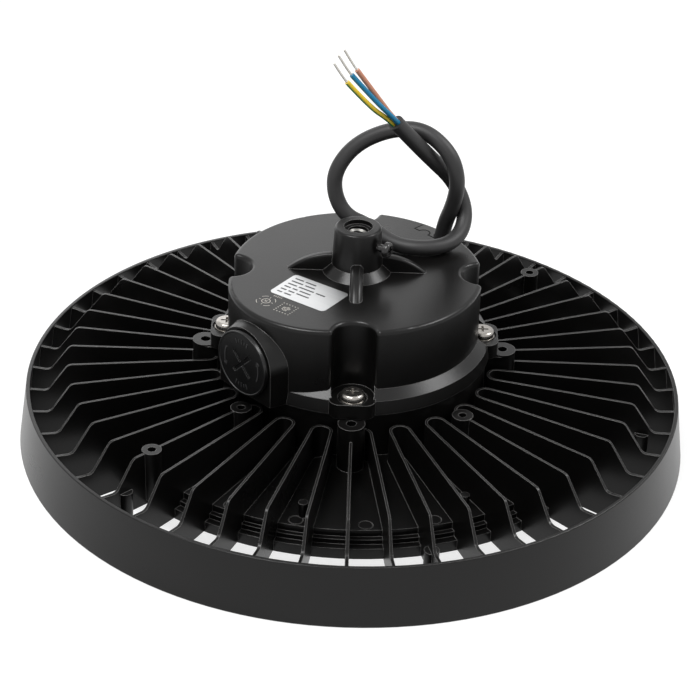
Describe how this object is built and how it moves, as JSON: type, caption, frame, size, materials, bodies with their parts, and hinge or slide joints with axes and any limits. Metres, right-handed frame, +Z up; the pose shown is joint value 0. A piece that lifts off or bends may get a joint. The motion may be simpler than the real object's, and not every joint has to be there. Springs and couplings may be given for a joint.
{
  "type": "high bay light",
  "caption": "Round LED high bay light with a black finned heat sink, a driver housing with a pendant boss, and a short loose supply cable.",
  "frame": {"origin": "centre of the rim's lower edge, on which the light rests", "axes": "+Z up through the pendant boss, -Y towards the viewer of the picture, +X to the right"},
  "size_m": [0.3484, 0.3484, 0.2092],
  "materials": {
    "cast_black": "satin black powder coat, fine texture",
    "screw_steel": "bright nickel plate",
    "set_screw_black": "black oxide",
    "port_plastic": "glossy black moulding",
    "seal_rubber": "matte black rubber",
    "silicone": "white silicone",
    "label_foil": "brushed silver foil",
    "entry_plastic": "matte black moulding",
    "cable_rubber": "matte black jacket",
    "core_brown": "light brown insulation",
    "core_blue": "blue insulation",
    "core_earth": "yellow insulation with a green stripe",
    "tinned_copper": "tinned copper strands",
    "lead_insulation": "coloured insulation",
    "circuit_board": "green solder mask",
    "terminal_green": "green moulding",
    "ferrite": "grey ferrite with copper winding",
    "film_box": "orange box",
    "capacitor_can": "sleeved aluminium can",
    "transistor_black": "black moulding",
    "plain_aluminium": "mill finish",
    "white_nylon": "natural nylon",
    "heat_sheet": "grey heat conducting sheet",
    "led_board_white": "white solder mask on aluminium",
    "led_yellow": "white package with yellow phosphor",
    "lens_clear": "clear polycarbonate"
  },
  "bodies": {
    "root": {"heat_sink": "cast_black", "driver_housing": "cast_black", "housing_gasket": "seal_rubber", "housing_screws": "screw_steel", "screw_washers": "screw_steel", "set_screw": "set_screw_black", "port_plug": "port_plastic", "port_seal": "seal_rubber", "rating_label": "label_foil", "cable_entry": "entry_plastic", "cable_tie": "white_nylon", "supply_cable": "cable_rubber", "core_brown": "core_brown", "core_blue": "core_blue", "core_earth": "core_earth", "strand_ends": "tinned_copper", "supply_leads": "lead_insulation", "driver_board": "circuit_board", "board_screws": "screw_steel", "input_terminal": "terminal_green", "filter_choke": "ferrite", "film_capacitor": "film_box", "boost_choke": "ferrite", "transformer": "ferrite", "bulk_capacitors": "capacitor_can", "power_transistors": "transistor_black", "heat_spreader": "plain_aluminium", "led_leads": "lead_insulation", "lead_plug": "white_nylon", "thermal_sheet": "heat_sheet", "led_board": "led_board_white", "led_chips": "led_yellow", "led_board_screws": "screw_steel", "lens_gasket": "silicone", "lens_plate": "lens_clear", "lens_screws": "screw_steel"}
  },
  "joints": []
}
